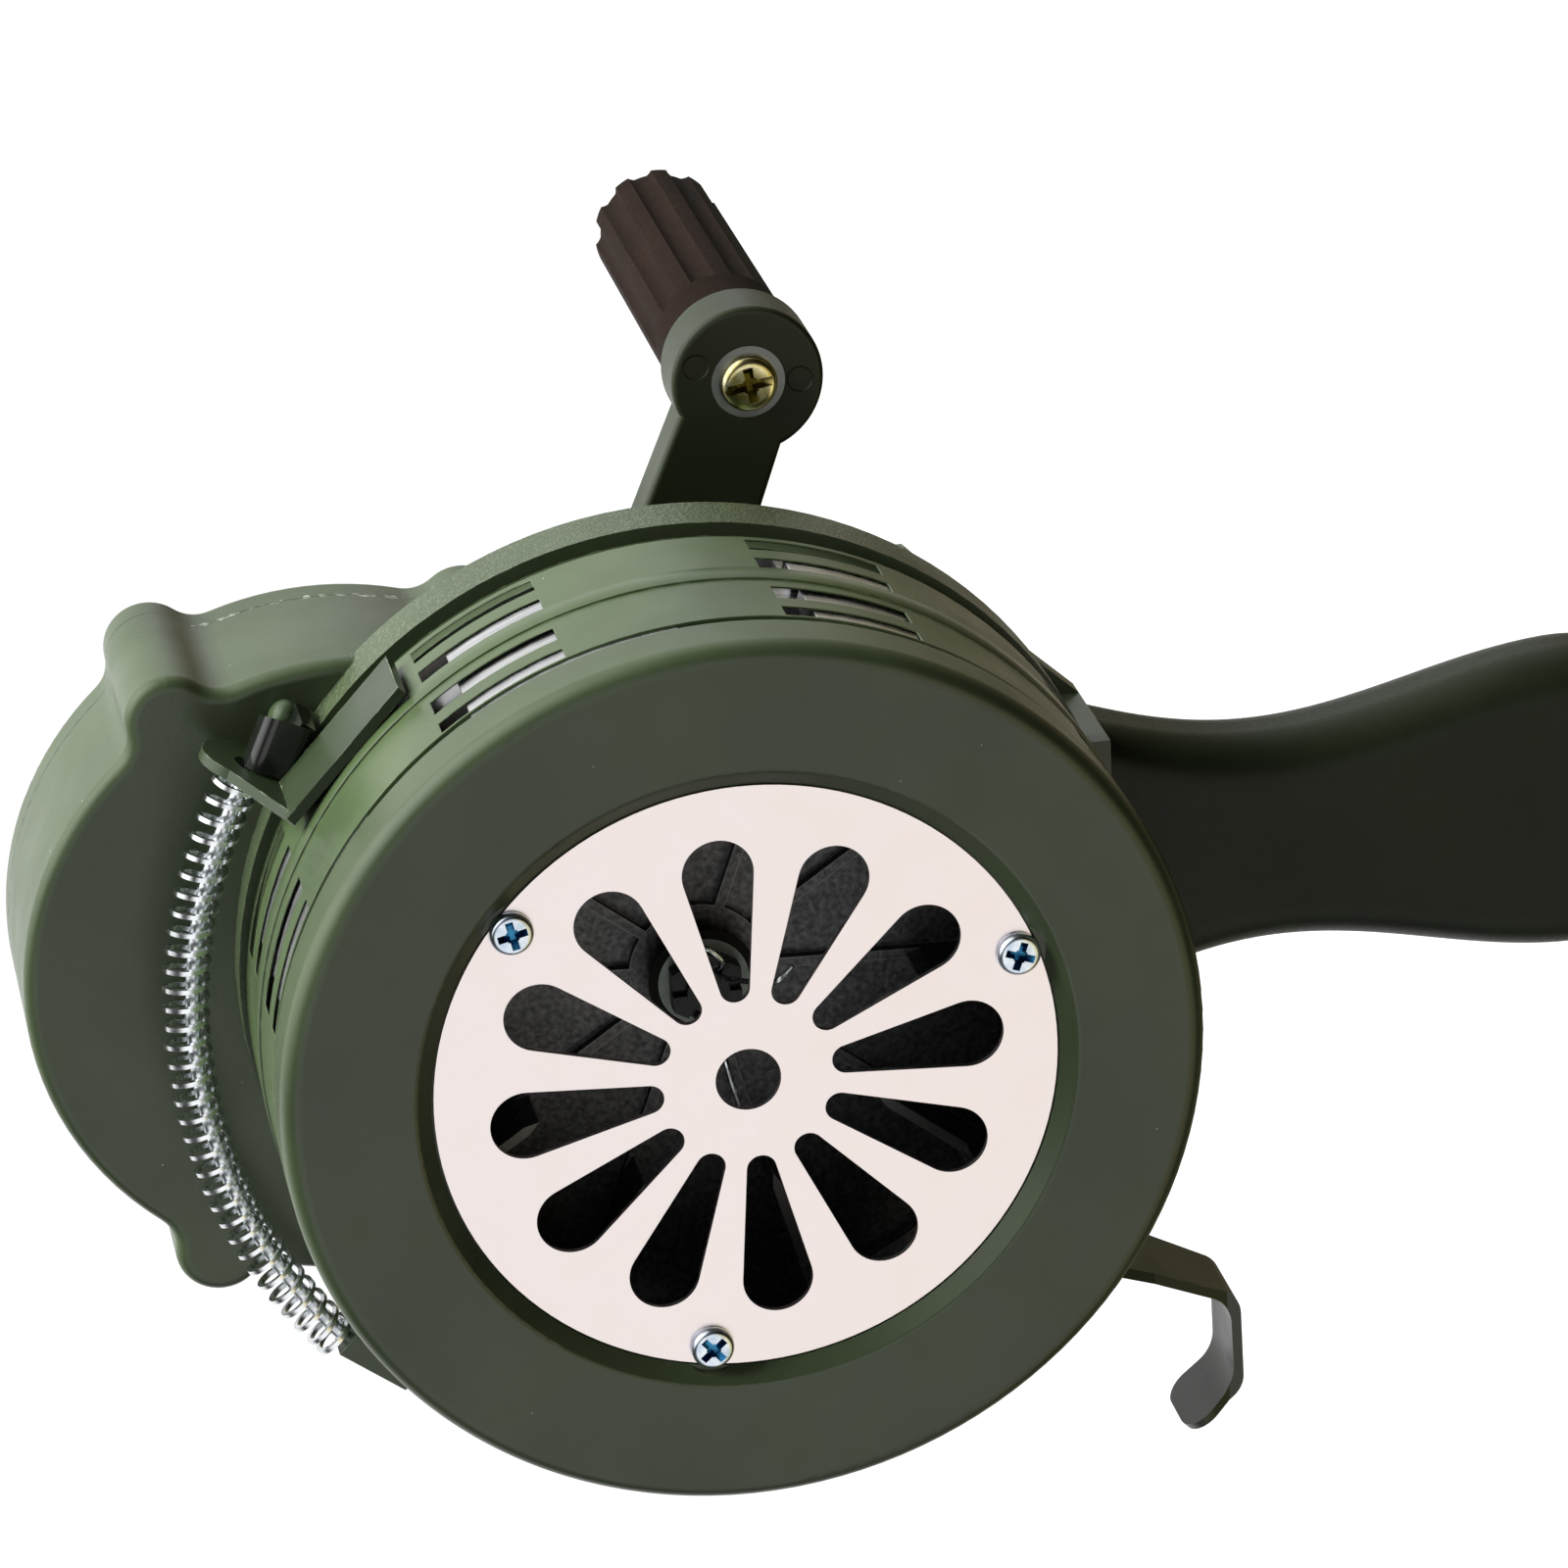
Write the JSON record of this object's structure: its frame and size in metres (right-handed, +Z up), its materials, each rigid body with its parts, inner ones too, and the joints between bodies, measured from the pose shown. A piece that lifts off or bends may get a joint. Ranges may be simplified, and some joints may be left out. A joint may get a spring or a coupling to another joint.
{
  "type": "hand crank siren",
  "caption": "Hand-held siren: a bladed rotor in a slotted drum, driven through gears by a side crank, with a sprung shutter ring and trigger over the slots and a pistol grip below.",
  "frame": {"origin": "middle of the pistol grip, on the drum's centre plane", "axes": "+Z up along the grip towards the drum, +Y from the grille to the crank side, +X to the right seen from the grille"},
  "size_m": [0.2194, 0.2165, 0.335],
  "materials": {
    "cover_paint": "satin",
    "grille_steel": "satin",
    "zinc_screw": "satin",
    "stator_metal": "satin",
    "housing_paint": "satin",
    "bearing_steel": "satin",
    "bush_bronze": "satin",
    "ring_paint": "satin",
    "bracket_paint": "satin",
    "stop_plastic": "gloss",
    "spring_steel": "satin",
    "gear_steel": "satin",
    "arm_paint": "satin",
    "washer_steel": "satin",
    "washer_nylon": "matte",
    "rotor_cast": "matte",
    "grip_plastic": "matte",
    "handle_plastic": "matte"
  },
  "bodies": {
    "root": {"front_cover": "cover_paint", "grille_plate": "grille_steel", "grille_screws": "zinc_screw", "stator": "stator_metal", "stator_screws": "zinc_screw", "rear_housing": "housing_paint", "gearbox_cover": "housing_paint", "gearbox_screws": "zinc_screw", "rotor_bearing_front": "bearing_steel", "rotor_bearing_rear": "bearing_steel", "crank_bush_front": "bush_bronze", "crank_bush_rear": "bush_bronze", "idler_pin": "bearing_steel", "guide_rod": "spring_steel", "spring_stop_upper": "stop_plastic", "spring_stop_lower": "bracket_paint", "stop_bolts": "bracket_paint", "handle_half_left": "handle_plastic", "handle_half_right": "handle_plastic", "handle_screws": "zinc_screw"},
    "shutter": {"shutter_ring": "ring_paint", "spring_bracket": "bracket_paint", "trigger_lever": "bracket_paint", "return_spring": "spring_steel"},
    "crank": {"crank_shaft": "bearing_steel", "crank_gear": "gear_steel", "crank_arm": "arm_paint", "crank_nut": "zinc_screw", "grip_spindle": "bearing_steel", "grip_screw": "zinc_screw", "grip_washer": "washer_steel"},
    "crank_grip": {"crank_grip": "grip_plastic", "grip_end_cap": "grip_plastic"},
    "idler": {"idler_gear": "gear_steel", "idler_pinion": "gear_steel"},
    "rotor": {"rotor_shaft": "bearing_steel", "rotor_pinion": "gear_steel", "impeller": "rotor_cast", "impeller_nut": "zinc_screw", "hub_washer": "washer_nylon", "split_pin": "spring_steel"}
  },
  "joints": [
    {"name": "shutter_turn", "type": "hinge", "parent": "root", "child": "shutter", "pos_m": [0, -0.049, 0.148], "axis": [0, -1, 0], "range_deg": [0, 13.5], "stiffness_Nm_per_rad": 0.35, "springref_deg": -34.38, "deforming": ["return_spring"]},
    {"name": "crank_spin", "type": "hinge", "parent": "root", "child": "crank", "pos_m": [0, 0.026, 0.1585], "axis": [0, 1, 0], "continuous": true},
    {"name": "knob_spin", "type": "hinge", "parent": "crank", "child": "crank_grip", "pos_m": [0.09132, 0.086, 0.12105], "axis": [0, 1, 0], "continuous": true},
    {"name": "idler_spin", "type": "hinge", "parent": "root", "child": "idler", "pos_m": [0, 0.001, 0.2095], "axis": [0, 1, 0], "continuous": true},
    {"name": "rotor_spin", "type": "hinge", "parent": "root", "child": "rotor", "pos_m": [0, -0.024, 0.148], "axis": [0, 1, 0], "continuous": true}
  ],
  "couplings": [
    {"joint": "idler_spin", "follows": "crank_spin", "ratio": -5.8},
    {"joint": "rotor_spin", "follows": "crank_spin", "ratio": 41.76}
  ]
}
